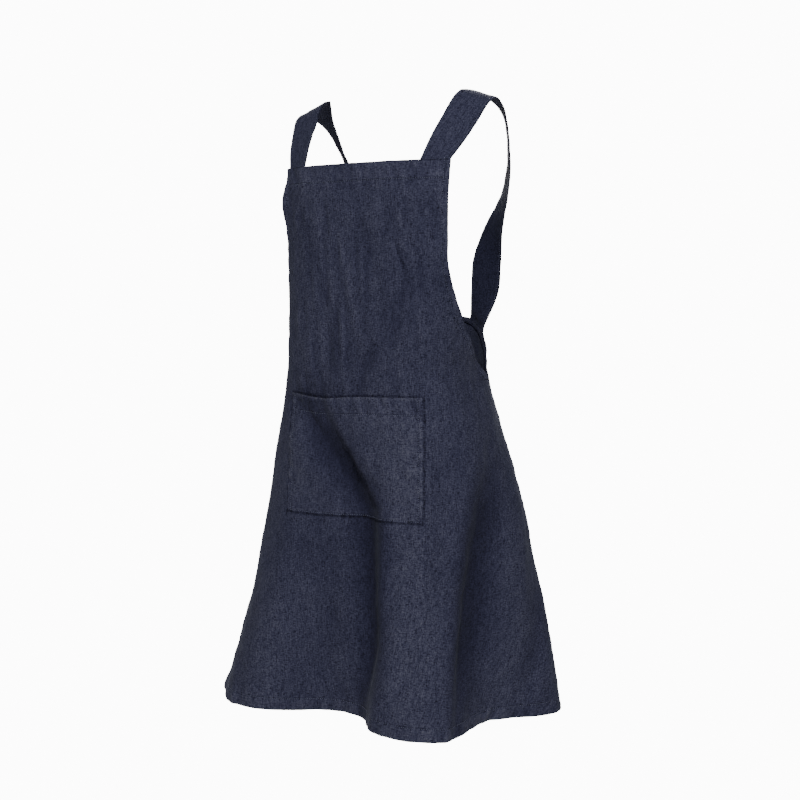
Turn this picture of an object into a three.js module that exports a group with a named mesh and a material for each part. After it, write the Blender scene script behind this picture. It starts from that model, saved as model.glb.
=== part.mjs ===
// Cross back apron as worn: a bib front, two back panels, a patch pocket, turned hems and two straps.
// Millimetres, +Z up, the front faces -Y and the wearer's left is +X.
// The origin lies between the shoulders, level with the tops of the straps.
import * as THREE from "three";

// Driving dimensions
const LENGTH = 952; // shoulder line down to the hem
const BIB_DROP = 112; // shoulder line down to the top of the bib
const UNDERARM_DROP = 442; // shoulder line down to the lowest point of the armholes
const BACK_DROP = 345; // shoulder line down to the top corners of the back panels
const BIB_WIDTH = 299; // across the bib, along the cloth
const HEM_HALF_WIDTH = 280; // half the width of the skirt at the hem
const HEM_FRONT = 215; // depth of the hem in front of the shoulder line
const HEM_BACK = 165; // depth of the hem behind the shoulder line
const BACK_OPENING = 92; // between the edges of the back panels
const CLOTH = 1.4; // one layer of linen
const LAYER_GAP = 0.6; // between two layers of cloth

const POCKET_WIDTH = 242;
const POCKET_HEIGHT = 186;
const POCKET_DROP = 462; // shoulder line down to the pocket's mouth
const POCKET_MOUTH = 2.8; // how far the mouth stands off the front

const BIB_HEM = 27;
const SKIRT_HEM = 18;
const EDGE_HEM = 9; // armholes and back edges
const POCKET_HEM = 26;
const SEAM_ALLOWANCE = 9; // on each side of a side seam

const STRAP_WIDTH = 54;
const STRAP_CLOTH = 2; // a folded and pressed tube of linen
const SHOULDER_HALF_SPAN = 145; // centre to the top of each strap
const CROSS_DROP = 480; // shoulder line down to where the straps cross
const STRAP_END_DROP = 556; // shoulder line down to the sewn back ends
const STRAP_END_OUT = 80; // centre back out to the sewn back ends

const SEAM_ANGLE = 110; // degrees round from centre front to a side seam
const BUTT_GAP = 0.4; // between two pieces that meet edge to edge

const LINEN = { color: 0x2f323e, roughness: 0.92, metalness: 0 };
const STITCHED_LINEN = { color: 0x3a3d4a, roughness: 0.92, metalness: 0 };

// Sections of the body of cloth, from the shoulders down.
// drop is a share of LENGTH, half and lean of HEM_HALF_WIDTH, front of HEM_FRONT and back of HEM_BACK.
const SECTIONS = [
  { drop: 0.0, half: 0.6, front: 0.5, back: 0.8, frontSquare: 3.0, backSquare: 2.0, lean: 0 },
  { drop: 0.114, half: 0.618, front: 0.545, back: 0.86, frontSquare: 3.0, backSquare: 2.0, lean: 0 },
  { drop: 0.175, half: 0.638, front: 0.578, back: 0.9, frontSquare: 3.0, backSquare: 2.0, lean: 0 },
  { drop: 0.248, half: 0.604, front: 0.588, back: 0.93, frontSquare: 3.0, backSquare: 2.0, lean: 0 },
  { drop: 0.325, half: 0.576, front: 0.596, back: 0.94, frontSquare: 3.0, backSquare: 2.0, lean: -0.008 },
  { drop: 0.4, half: 0.566, front: 0.6, back: 0.93, frontSquare: 3.0, backSquare: 1.9, lean: -0.024 },
  { drop: 0.45, half: 0.565, front: 0.6, back: 0.92, frontSquare: 3.0, backSquare: 1.9, lean: -0.034 },
  { drop: 0.53, half: 0.628, front: 0.604, back: 0.93, frontSquare: 3.0, backSquare: 1.9, lean: -0.018 },
  { drop: 0.676, half: 0.782, front: 0.625, back: 0.95, frontSquare: 2.8, backSquare: 2.0, lean: -0.006 },
  { drop: 0.84, half: 0.898, front: 0.79, back: 0.98, frontSquare: 2.5, backSquare: 2.1, lean: -0.004 },
  { drop: 1.0, half: 1.0, front: 1.0, back: 1.0, frontSquare: 2.4, backSquare: 2.2, lean: 0 },
];

// Hanging folds, each deepest at the hem. start is a share of LENGTH and depth of HEM_HALF_WIDTH.
// Angles are degrees round from centre front, positive to the wearer's left.
// left and right are the half widths of the fold in degrees at the hem.
const FOLDS = [
  { start: 0.59, top: -4, hem: -9, left: 38, right: 47, depth: -0.285, grow: 1.8, bend: 1 },
  { start: 0.505, top: 90, hem: 70, left: 25, right: 31, depth: -0.262, grow: 1.3, bend: 0.6 },
  { start: 0.5, top: -40, hem: -50, left: 26, right: 24, depth: 0.05, grow: 1.2, bend: 1 },
  { start: 0.56, top: -78, hem: -88, left: 27, right: 24, depth: -0.16, grow: 1.4, bend: 1 },
  { start: 0.55, top: -138, hem: -136, left: 22, right: 24, depth: -0.13, grow: 1.4, bend: 1 },
  { start: 0.55, top: 140, hem: 137, left: 24, right: 22, depth: -0.13, grow: 1.4, bend: 1 },
];

// Soft creases that swell and fade between two heights, with the same columns and an end.
const CREASES = [
  { start: 0.4, end: 0.7, top: -46, hem: 18, left: 10, right: 13, depth: -0.02 },
  { start: 0.2, end: 0.4, top: 12, hem: 22, left: 7, right: 8, depth: -0.009 },
  { start: 0.3, end: 0.52, top: -16, hem: -22, left: 12, right: 10, depth: -0.016 },
];

// The strap over the shoulder, between the bib and the back panels. out is a share of
// SHOULDER_HALF_SPAN, back of HEM_BACK, down of BIB_DROP in front and of BACK_DROP behind, and
// wide of STRAP_WIDTH. left and right are the degrees that the width of each strap is turned away
// from straight across, its outer edge backwards, and tilt the degrees that it is tipped up.
const STRAP_FRONT = [
  { out: 0.905, back: -0.455, down: 0.71, wide: 0.93, left: 18, right: 16, tilt: -12 },
  { out: 0.96, back: -0.31, down: 0.43, wide: 1.0, left: 10, right: 6, tilt: -17 },
  { out: 1.005, back: -0.17, down: 0.17, wide: 1.05, left: 3, right: 2, tilt: -20 },
  { out: 1.025, back: -0.02, down: 0.06, wide: 1.05, left: -8, right: 0, tilt: -20 },
  { out: 1.075, back: 0.16, down: 0.09, wide: 1.0, left: -40, right: 22, tilt: -15 },
];
const STRAP_BACK = [
  { out: 1.105, back: 0.38, down: 0.1, wide: 1.0, left: -60, right: 50, tilt: -8 },
  { out: 1.04, back: 0.59, down: 0.26, wide: 1.0, left: -61, right: 56, tilt: -4 },
  { out: 0.92, back: 0.73, down: 0.42, wide: 1.0, left: -54, right: 40, tilt: -8 },
  { out: 0.75, back: 0.82, down: 0.57, wide: 1.0, left: -34, right: 16, tilt: -12 },
  { out: 0.635, back: 0.86, down: 0.73, wide: 1.0, left: -6, right: 8, tilt: -12 },
  { out: 0.61, back: 0.85, down: 0.88, wide: 1.0, left: -8, right: -12, tilt: -8 },
];

// The strap's lower end, lying on the back panels. out is a share of STRAP_END_OUT from the centre
// back and down a share of the height between the crossing and the sewn end.
const STRAP_LOWER = [
  { out: 1.15, down: -1.7 },
  { out: 1.03, down: -1.33 },
  { out: 0.83, down: -0.93 },
  { out: 0.55, down: -0.55 },
  { out: 0.28, down: -0.26 },
  { out: 0, down: 0 },
  { out: -0.5, down: 0.5 },
  { out: -1, down: 1 },
];
const STRAP_FOOT = 0.86; // share of STRAP_WIDTH that is left where it is sewn to the bib

const degrees = THREE.MathUtils.degToRad;
const mix = THREE.MathUtils.lerp;
const smooth = (t) => THREE.MathUtils.smoothstep(t, 0, 1);

// Evenly spaced numbers from one value to another, both included
function spaced(from, to, steps) {
  return Array.from({ length: steps + 1 }, (_, i) => mix(from, to, i / steps));
}

// A smooth curve through one column of a table whose rows are in order of the key column
function through(table, key, at, column) {
  const last = table.length - 2;
  let i = 0;
  while (i < last && at > table[i + 1][key]) i += 1;
  const slope = (k) => {
    const before = table[Math.max(k - 1, 0)];
    const after = table[Math.min(k + 1, table.length - 1)];
    return (after[column] - before[column]) / (after[key] - before[key]);
  };
  const span = table[i + 1][key] - table[i][key];
  const t = THREE.MathUtils.clamp((at - table[i][key]) / span, 0, 1);
  const ease = t * t * (3 - 2 * t);
  const lead = t * (1 - t) * (1 - t) * slope(i) + t * t * (t - 1) * slope(i + 1);
  return mix(table[i][column], table[i + 1][column], ease) + span * lead;
}

// How far a fold or crease pushes the cloth out at an angle, from its own centre and strength
function swell(angle, centre, row, strength) {
  const half = angle < centre ? row.left : row.right;
  const away = Math.min(Math.abs(angle - centre) / half, 1);
  return row.depth * HEM_HALF_WIDTH * strength * 0.5 * (1 + Math.cos(Math.PI * away));
}

function foldDepth(angle, drop) {
  let depth = 0;
  for (const row of FOLDS) {
    const t = THREE.MathUtils.clamp((drop - row.start) / (1 - row.start), 0, 1);
    depth += swell(angle, mix(row.top, row.hem, t ** row.bend), row, t ** row.grow);
  }
  for (const row of CREASES) {
    const t = THREE.MathUtils.clamp((drop - row.start) / (row.end - row.start), 0, 1);
    depth += swell(angle, mix(row.top, row.hem, t), row, Math.sin(Math.PI * t) ** 2);
  }
  return depth;
}

// A point of the body of cloth, at an angle in degrees and a height
function bodyPoint(angle, z) {
  const drop = -z / LENGTH;
  const side = Math.sin(degrees(angle));
  const ahead = Math.cos(degrees(angle));
  const turned = THREE.MathUtils.euclideanModulo(angle + 180, 360) - 180;
  const half = HEM_HALF_WIDTH * through(SECTIONS, "drop", drop, "half");
  const depth = ahead > 0
    ? HEM_FRONT * through(SECTIONS, "drop", drop, "front")
    : HEM_BACK * through(SECTIONS, "drop", drop, "back");
  const square = through(SECTIONS, "drop", drop, ahead > 0 ? "frontSquare" : "backSquare");
  const reach = (Math.abs(side) / half) ** square + (Math.abs(ahead) / depth) ** square;
  const radius = reach ** (-1 / square) + foldDepth(turned, drop);
  const lean = HEM_HALF_WIDTH * through(SECTIONS, "drop", drop, "lean");
  return new THREE.Vector3(lean + radius * side, -radius * ahead, z);
}

// The same point moved out of the cloth by an offset, along its normal
function clothPoint(angle, z, offset) {
  const turn = 0.5;
  const rise = 2;
  const along = bodyPoint(angle + turn, z).sub(bodyPoint(angle - turn, z));
  const up = bodyPoint(angle, z + rise).sub(bodyPoint(angle, z - rise));
  const normal = along.cross(up).normalize();
  return bodyPoint(angle, z).addScaledVector(normal, offset);
}

const ANGLE_STEP = 1.5;

// The angle that lies a length along the cloth from a starting angle, at one height
function angleAlong(start, length, z) {
  const step = ANGLE_STEP * Math.sign(length);
  let angle = start;
  let left = Math.abs(length);
  for (let here = bodyPoint(angle, z); left > 0; ) {
    const next = bodyPoint(angle + step, z);
    const stride = here.distanceTo(next);
    angle += step * Math.min(left / stride, 1);
    left -= stride;
    here = next;
  }
  return angle;
}

// Edges of the cut cloth
const HEM_Z = -LENGTH;
const BIB_Z = -BIB_DROP;
const UNDERARM_Z = -UNDERARM_DROP;
const POCKET_Z = -POCKET_DROP;
const ARMHOLE_START = 0.41; // share of the armhole's height where its curve begins
const ARMHOLE_CURVE = { reach: 1.6, fullness: 0.62 }; // how fast it sweeps out and how round it is

// The angle of the front's edge: the side seam up to the underarm, and the armhole above it
function frontEdge(z) {
  const share = THREE.MathUtils.clamp((z - UNDERARM_Z) / (BIB_Z - UNDERARM_Z), 0, 1);
  const x = Math.max(1 - share / (1 - ARMHOLE_START), 0);
  const sweep = 1 - (1 - x ** ARMHOLE_CURVE.reach) ** ARMHOLE_CURVE.fullness;
  return share > 0 ? mix(angleAlong(0, BIB_WIDTH / 2, z), SEAM_ANGLE, sweep) : SEAM_ANGLE;
}

// The angle of the back's open edge
function backEdge(z) {
  return angleAlong(180, -BACK_OPENING / 2, z);
}

const BACK_SCOOP = 2; // how soon the back panel's top edge has risen from the underarm

// The height of the back panel's top edge
function backTop(angle) {
  const corner = backEdge(-BACK_DROP);
  const t = (angle - SEAM_ANGLE) / (corner - SEAM_ANGLE);
  return mix(UNDERARM_Z, -BACK_DROP, 1 - (1 - t) ** BACK_SCOOP);
}

// A closed wall between two grids of points that face out and in, rows upwards, columns to the left
function wall(outer, inner) {
  const rows = outer.length;
  const columns = outer[0].length;
  const positions = [...outer.flat(), ...inner.flat()].flatMap((p) => [p.x, p.y, p.z]);
  const index = [];
  const at = (layer, i, j) => (layer * rows + i) * columns + j;
  const quad = (a, b, c, d) => index.push(a, b, c, a, c, d);
  for (let i = 0; i + 1 < rows; i += 1) {
    for (let j = 0; j + 1 < columns; j += 1) {
      // The faces are split the other way on the wearer's right, as in a mirror
      const mirrored = outer[i][j].x + outer[i][j + 1].x < 0;
      for (const layer of [0, 1]) {
        const corners = [at(layer, i, j), at(layer, i, j + 1), at(layer, i + 1, j + 1), at(layer, i + 1, j)];
        if (mirrored) corners.unshift(corners.pop());
        const [a, b, c, d] = corners;
        quad(a, layer ? d : b, c, layer ? b : d);
      }
    }
    quad(at(0, i, 0), at(0, i + 1, 0), at(1, i + 1, 0), at(1, i, 0));
    const end = columns - 1;
    quad(at(0, i, end), at(1, i, end), at(1, i + 1, end), at(0, i + 1, end));
  }
  for (let j = 0; j + 1 < columns; j += 1) {
    const top = rows - 1;
    quad(at(0, 0, j), at(1, 0, j), at(1, 0, j + 1), at(0, 0, j + 1));
    quad(at(0, top, j), at(0, top, j + 1), at(1, top, j + 1), at(1, top, j));
  }
  const geometry = new THREE.BufferGeometry();
  geometry.setAttribute("position", new THREE.Float32BufferAttribute(positions, 3));
  geometry.setIndex(index);
  geometry.computeVertexNormals();
  return geometry;
}

// A wall of cloth on a grid of [angle, height] places, with its middle at an offset from the body
function clothWall(places, offset, thickness) {
  const layer = (side) => places.map((row) => row.map(([angle, z], j) => {
    const middle = typeof offset === "function" ? offset(angle, z) : offset;
    return clothPoint(angle, z, middle + side * thickness / 2);
  }));
  return wall(layer(1), layer(-1));
}

const apron = new THREE.Group();

function add(name, geometry, finish) {
  const mesh = new THREE.Mesh(geometry, new THREE.MeshStandardMaterial(finish));
  mesh.name = name;
  apron.add(mesh);
}

// Offsets of the layers from the body of cloth
const HEM_LAYER = -(CLOTH + LAYER_GAP);
const HEM_CLEAR = 0.4;
const ARMHOLE_LAYER = HEM_LAYER - HEM_CLEAR;
const STRAP_FRONT_LAYER = ARMHOLE_LAYER - CLOTH / 2 - LAYER_GAP - STRAP_CLOTH / 2;
const POCKET_LAYER = CLOTH + LAYER_GAP;
const STRAP_BACK_LAYER = (CLOTH + STRAP_CLOTH) / 2 + LAYER_GAP + BUTT_GAP / 2;

// Front panel
const HALF_COLUMNS = 18;
const POCKET_COLUMNS = 7;
const POCKET_BOTTOM = POCKET_Z - POCKET_HEIGHT;
const ARMHOLE_ROWS = 9;
const ROWS_CROWD = 1.8; // how much closer the armhole's rows lie towards the underarm
const armholeLevels = Array.from({ length: ARMHOLE_ROWS }, (_, k) => {
  const share = ((k + 1) / ARMHOLE_ROWS) ** ROWS_CROWD;
  return mix(UNDERARM_Z, BIB_Z, share * (1 - ARMHOLE_START));
});
const pocketLevels = [...spaced(POCKET_BOTTOM, POCKET_Z - POCKET_HEM, 6), POCKET_Z];
const skirtLevels = [HEM_Z, ...spaced(HEM_Z + SKIRT_HEM, POCKET_BOTTOM, 7), ...pocketLevels.slice(1)];
const frontLevels = [
  ...skirtLevels,
  UNDERARM_Z,
  ...armholeLevels,
  ...spaced(armholeLevels.at(-1), BIB_Z - BIB_HEM, 3).slice(1),
  BIB_Z,
];

// The angle of a front column, where POCKET_COLUMNS keep to the pocket's side
function frontColumn(j, z) {
  const edge = frontEdge(z) - THREE.MathUtils.radToDeg(BUTT_GAP / 2 / HEM_HALF_WIDTH);
  const allowance = angleAlong(edge, -SEAM_ALLOWANCE, z);
  const side = angleAlong(0, POCKET_WIDTH / 2, z);
  const inner = z > POCKET_Z ? Math.min(side, edge * POCKET_COLUMNS / HALF_COLUMNS) : side;
  const k = Math.abs(j);
  const angle = k <= POCKET_COLUMNS
    ? inner * k / POCKET_COLUMNS
    : mix(inner, allowance, (k - POCKET_COLUMNS) / (HALF_COLUMNS - 1 - POCKET_COLUMNS));
  return Math.sign(j) * (k === HALF_COLUMNS ? edge : angle);
}

function frontPlaces(levels, halfColumns) {
  return levels.map((z) => spaced(-halfColumns, halfColumns, 2 * halfColumns)
    .map((j) => [frontColumn(Math.round(j), z), z]));
}

add("front_panel", clothWall(frontPlaces(frontLevels, HALF_COLUMNS), 0, CLOTH), LINEN);

const POCKET_RISE = 1.6; // how soon up the pocket its cloth has left the front
const POCKET_FLAT = 6; // how far across the pocket its mouth stays open

// Pocket, sewn down at its sides and foot, its mouth standing a little off the front
function pocketOffset(angle, z) {
  const across = Math.min(Math.abs(angle / frontColumn(POCKET_COLUMNS, z)), 1);
  const up = (z - POCKET_BOTTOM) / POCKET_HEIGHT;
  return POCKET_LAYER + POCKET_MOUTH * smooth(up * POCKET_RISE) * (1 - across ** POCKET_FLAT);
}

add("pocket", clothWall(frontPlaces(pocketLevels, POCKET_COLUMNS), pocketOffset, CLOTH), LINEN);

const pocketHemLayer = (angle, z) => pocketOffset(angle, z) - CLOTH - HEM_CLEAR;
const pocketHemPlaces = frontPlaces([POCKET_Z - POCKET_HEM, POCKET_Z - BUTT_GAP], POCKET_COLUMNS)
  .map((row) => row.slice(1, -1));
add("pocket_hem", clothWall(pocketHemPlaces, pocketHemLayer, CLOTH), STITCHED_LINEN);

// Back panels, from the side seams round to the open back. The columns at their two edges are as
// wide as the seam allowance and the turned hem.
const BACK_COLUMNS = 8;
const backLevels = [...skirtLevels, UNDERARM_Z];

function backColumns(z) {
  const start = SEAM_ANGLE + THREE.MathUtils.radToDeg(BUTT_GAP / 2 / HEM_BACK);
  const end = backEdge(z);
  const from = angleAlong(start, SEAM_ALLOWANCE, z);
  const to = angleAlong(end, -EDGE_HEM, z);
  return [start, ...spaced(from, to, BACK_COLUMNS - 2), end];
}

function backPlaces(side) {
  return backLevels.map((level) => {
    const foot = Math.min(level, HEM_Z + SKIRT_HEM);
    const share = (level - foot) / (UNDERARM_Z - foot);
    const row = backColumns(level).map((start, k) => {
      const z = mix(foot, backTop(start), share);
      return [side * backColumns(z)[k], z];
    });
    return side > 0 ? row : row.reverse();
  });
}

for (const [name, side] of [["left", 1], ["right", -1]]) {
  add(`back_panel_${name}`, clothWall(backPlaces(side), 0, CLOTH), LINEN);
}

// A band of cloth turned in along an edge. The edge is a list of [angle, height] places, and
// inward points from it into the cloth, to the left (1) or the right (-1) of the edge's direction.
function edgeBand(edge, width, inward, offset, thickness) {
  const radius = (place) => Math.hypot(bodyPoint(...place).x, bodyPoint(...place).y);
  const near = (i) => edge[THREE.MathUtils.clamp(i, 0, edge.length - 1)];
  const shifted = (distance) => edge.map((place, i) => {
    const reach = radius(place);
    const across = degrees(near(i + 1)[0] - near(i - 1)[0]) * reach;
    const up = near(i + 1)[1] - near(i - 1)[1];
    const scale = inward * distance / Math.hypot(across, up);
    return [place[0] - THREE.MathUtils.radToDeg(up * scale / reach), place[1] + across * scale];
  });
  const inner = shifted(width);
  const outer = shifted(BUTT_GAP);
  const rows = inward > 0 ? [outer, inner] : [inner, outer];
  return clothWall(rows, offset, thickness);
}

// The bottom hem is continuous round the whole apron
const backRows = { left: backPlaces(1), right: backPlaces(-1) };
const hemPlaces = frontPlaces([HEM_Z, HEM_Z + SKIRT_HEM], HALF_COLUMNS)
  .map((row, i) => [...backRows.right[i].slice(0, -1), ...row, ...backRows.left[i].slice(1)]);
add("bottom_hem", clothWall(hemPlaces, HEM_LAYER, CLOTH), STITCHED_LINEN);

// One armhole's edge, from the bib's top corner round under the arm to the back panel's top corner
function armholeEdge(side) {
  const front = frontLevels.filter((z) => z > UNDERARM_Z).reverse().map((z) => [frontEdge(z), z]);
  const corner = backEdge(-BACK_DROP);
  const back = spaced(SEAM_ANGLE, corner, 2 * BACK_COLUMNS).map((angle) => [angle, backTop(angle)]);
  const edge = [...front, ...back].map(([angle, z]) => [side * angle, z]);
  return side > 0 ? edge : edge.reverse();
}

// Rows of places between the bottom hem and a gap below the panels' top row
function aboveHem(rows, gap) {
  const between = (low, high, share) => low.map((place, k) => (
    place.map((value, c) => mix(value, high[k][c], share))
  ));
  const [below, top] = rows.slice(-2);
  const rise = Math.min(...top.map((place, k) => place[1] - below[k][1]));
  return [
    between(rows[1], rows[2], BUTT_GAP / (rows[2][0][1] - rows[1][0][1])),
    ...rows.slice(2, -1),
    between(below, top, 1 - gap / rise),
  ];
}

const SEAM_CLEAR = 4.8; // between the armhole's hem and the seam's allowances
const EDGE_CLEAR = 1.6; // between the armhole's hem and the back edge's hem

// The strip that joins a front to a back panel, in their own columns beside the seam
function seamPlaces(side) {
  const rows = backLevels.map((level, i) => {
    const back = backPlaces(side)[i].at(side > 0 ? 1 : -2);
    const strip = [[side * frontColumn(HALF_COLUMNS - 1, level), level], [side * SEAM_ANGLE, level], back];
    return side > 0 ? strip : strip.reverse();
  });
  return aboveHem(rows, EDGE_HEM + SEAM_CLEAR);
}

// The turned hem along a back panel's open edge
function backHemPlaces(side) {
  const rows = backPlaces(side).map((row) => (side > 0 ? row.slice(-2) : row.slice(0, 2)));
  return aboveHem(rows, EDGE_HEM + EDGE_CLEAR);
}

for (const [name, side] of [["left", 1], ["right", -1]]) {
  const armholeHem = edgeBand(armholeEdge(side), EDGE_HEM, -1, ARMHOLE_LAYER, CLOTH);
  add(`armhole_hem_${name}`, armholeHem, STITCHED_LINEN);
  add(`back_edge_hem_${name}`, clothWall(backHemPlaces(side), HEM_LAYER, CLOTH), STITCHED_LINEN);
  add(`side_seam_${name}`, clothWall(seamPlaces(side), HEM_LAYER, CLOTH), STITCHED_LINEN);
}

// The bib's top hem, between the two armhole hems
const bibHemPlaces = spaced(BIB_Z - BIB_HEM, BIB_Z - BUTT_GAP, 2).map((z) => {
  const end = angleAlong(frontEdge(z), -(EDGE_HEM + 2 * BUTT_GAP), z);
  return spaced(-end, end, 2 * HALF_COLUMNS).map((angle) => [angle, z]);
});
add("bib_hem", clothWall(bibHemPlaces, HEM_LAYER, CLOTH), STITCHED_LINEN);

// Straps. A row of a strap is its points across, from the inner edge to the outer.
const STRAP_COLUMNS = 4;
const ROUTE_STEPS = 3;
const ROUTE_NUDGE = 0.1; // step along the route that gives its direction
const LIFT = { ends: 1.75, eases: 0.8 }; // distances from the crossing, as shares of STRAP_WIDTH
const across = spaced(-1, 1, STRAP_COLUMNS);

function strapBibRows(side) {
  return spaced(BIB_Z - BIB_HEM + BUTT_GAP, BIB_Z, 2).map((z) => across.map((v) => {
    const length = BIB_WIDTH / 2 - BUTT_GAP - STRAP_FOOT * STRAP_WIDTH * (1 - v) / 2;
    return clothPoint(side * angleAlong(0, length, z), z, STRAP_FRONT_LAYER);
  }));
}

// lift is how far the strap passes over the other one where they cross
function strapLowerRows(side, lift) {
  const table = STRAP_LOWER.map((row, at) => ({
    at,
    out: row.out * STRAP_END_OUT,
    z: -CROSS_DROP - row.down * (STRAP_END_DROP - CROSS_DROP),
  }));
  const last = table.length - 1;
  return spaced(0, last, last * ROUTE_STEPS).map((at) => {
    const place = (where) => ["out", "z"].map((column) => through(table, "at", where, column));
    const centre = place(at);
    const ahead = place(Math.min(at + ROUTE_NUDGE, last));
    const behind = place(Math.max(at - ROUTE_NUDGE, 0));
    const run = [ahead[0] - behind[0], ahead[1] - behind[1]];
    const scale = STRAP_WIDTH / 2 / Math.hypot(...run);
    const away = Math.hypot(centre[0], centre[1] + CROSS_DROP);
    const over = lift * smooth((LIFT.ends - away / STRAP_WIDTH) / LIFT.eases);
    return across.map((v) => {
      const z = centre[1] + v * run[0] * scale;
      const out = centre[0] - v * run[1] * scale;
      return clothPoint(side * angleAlong(180, -out, z), z, STRAP_BACK_LAYER + over);
    });
  });
}

// The free part of the strap, from the last row at the bib to the first row on the back panel
function strapFreeRows(side, from, to) {
  const sewn = (row) => {
    const width = row.at(-1).clone().sub(row[0]).multiplyScalar(0.5);
    return { middle: row[0].clone().add(width), width };
  };
  const free = (row, height) => {
    const turn = degrees(side > 0 ? row.left : row.right);
    const tilt = degrees(row.tilt);
    const width = new THREE.Vector3(side * Math.cos(turn), Math.sin(turn), Math.tan(tilt));
    width.setLength(row.wide * STRAP_WIDTH / 2);
    const out = side * row.out * SHOULDER_HALF_SPAN;
    return { middle: new THREE.Vector3(out, row.back * HEM_BACK, -row.down * height), width };
  };
  const stations = [
    sewn(from),
    ...STRAP_FRONT.map((row) => free(row, BIB_DROP)),
    ...STRAP_BACK.map((row) => free(row, BACK_DROP)),
    sewn(to),
  ];
  const table = stations.map(({ middle, width }, at) => ({
    at, x: middle.x, y: middle.y, z: middle.z, wx: width.x, wy: width.y, wz: width.z,
  }));
  const last = table.length - 1;
  return spaced(0, last, last * ROUTE_STEPS).slice(1, -1).map((at) => {
    const [x, y, z, wx, wy, wz] = ["x", "y", "z", "wx", "wy", "wz"]
      .map((column) => through(table, "at", at, column));
    const width = new THREE.Vector3(wx, wy, wz);
    return across.map((v) => new THREE.Vector3(x, y, z).addScaledVector(width, v));
  });
}

// A wall about a grid of middle points, which is given its thickness along the grid's own normals
function ribbon(rows, thickness) {
  const near = (list, i) => list[THREE.MathUtils.clamp(i, 0, list.length - 1)];
  const layer = (side) => rows.map((row, i) => row.map((point, j) => {
    const wide = near(row, j + 1).clone().sub(near(row, j - 1));
    const long = near(rows, i + 1)[j].clone().sub(near(rows, i - 1)[j]);
    return point.clone().addScaledVector(wide.cross(long).normalize(), side * thickness / 2);
  }));
  return wall(layer(1), layer(-1));
}

function strap(side, lift) {
  const front = strapBibRows(side);
  const lower = strapLowerRows(side, lift);
  const rows = [...front, ...strapFreeRows(side, front.at(-1), lower[0]), ...lower];
  return ribbon(side > 0 ? rows : rows.map((row) => row.reverse()), STRAP_CLOTH);
}

add("strap_left", strap(1, 0), LINEN);
add("strap_right", strap(-1, STRAP_CLOTH + LAYER_GAP), LINEN);

export default apron;
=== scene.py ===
import bpy
import numpy as np
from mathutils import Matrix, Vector


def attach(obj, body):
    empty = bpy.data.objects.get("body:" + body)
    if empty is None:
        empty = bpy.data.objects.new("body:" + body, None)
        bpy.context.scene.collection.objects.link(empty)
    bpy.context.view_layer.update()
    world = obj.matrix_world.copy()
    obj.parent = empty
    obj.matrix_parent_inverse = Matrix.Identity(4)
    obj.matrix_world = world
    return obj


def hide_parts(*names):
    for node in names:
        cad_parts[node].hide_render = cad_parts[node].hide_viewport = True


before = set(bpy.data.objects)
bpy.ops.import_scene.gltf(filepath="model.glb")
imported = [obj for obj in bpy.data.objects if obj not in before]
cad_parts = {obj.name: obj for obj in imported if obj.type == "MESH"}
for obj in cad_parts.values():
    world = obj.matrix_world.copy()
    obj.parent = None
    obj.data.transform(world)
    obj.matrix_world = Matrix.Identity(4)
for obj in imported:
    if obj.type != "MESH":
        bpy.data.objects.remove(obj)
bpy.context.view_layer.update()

MM = 0.001

# Sizes of the apron, as in the part's own source
LENGTH = 952
BIB_DROP = 112
UNDERARM_DROP = 442
BACK_DROP = 345
BIB_WIDTH = 299
HEM_HALF_WIDTH = 280
HEM_FRONT = 215
HEM_BACK = 165
BACK_OPENING = 92
POCKET_WIDTH = 242
POCKET_HEIGHT = 186
POCKET_DROP = 462
BIB_HEM = 27
SKIRT_HEM = 18
EDGE_HEM = 9
POCKET_HEM = 26
SEAM_ALLOWANCE = 9
STRAP_WIDTH = 54
STRAP_FOOT = 0.86
SHOULDER_HALF_SPAN = 145
CROSS_DROP = 480
STRAP_END_DROP = 556
STRAP_END_OUT = 80
SEAM_ANGLE = 110
ARMHOLE_START = 0.41
ARMHOLE_REACH = 1.6
ARMHOLE_FULLNESS = 0.62

# Thicknesses and layers of cloth, from the middle of the panels outwards
CLOTH = 1.1
HEM_CLOTH = 0.9
STRAP_CLOTH = 1.9
HEM_LAYER = -1.4
ARMHOLE_LAYER = -1.9
STRAP_FRONT_LAYER = -3.9
POCKET_LAYER = 1.3
POCKET_HEM_LAYER = -1.25  # from the pocket inwards
STRAP_BACK_LAYER = 2.1
STRAP_OVER = 2.5

# The pocket's mouth stands a little open and sags to the wearer's right, most at SAG_CENTRE
POCKET_MOUTH = 4.2
POCKET_SAG = 5.0
SAG_CENTRE = -48
SAG_WIDTH = 48

# Stitch lines, by how far they lie in from an edge or a fold
HEM_STITCH = 1.6
POCKET_STITCH = 8.0
POCKET_FOOT_STITCH = 2.6
POCKET_MOUTH_STITCH = 1.5
STRAP_STITCH = 3.2
STRAP_END_STITCH = 4.0

# The thread is drawn about twice as thick as real thread, which is too fine to show
STITCH_PITCH = 3.4
STITCH_LENGTH = 2.5
THREAD_WIDTH = 0.75

HEM_Z = -LENGTH
BIB_Z = -BIB_DROP
UNDERARM_Z = -UNDERARM_DROP
POCKET_Z = -POCKET_DROP
POCKET_FOOT_Z = POCKET_Z - POCKET_HEIGHT

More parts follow.
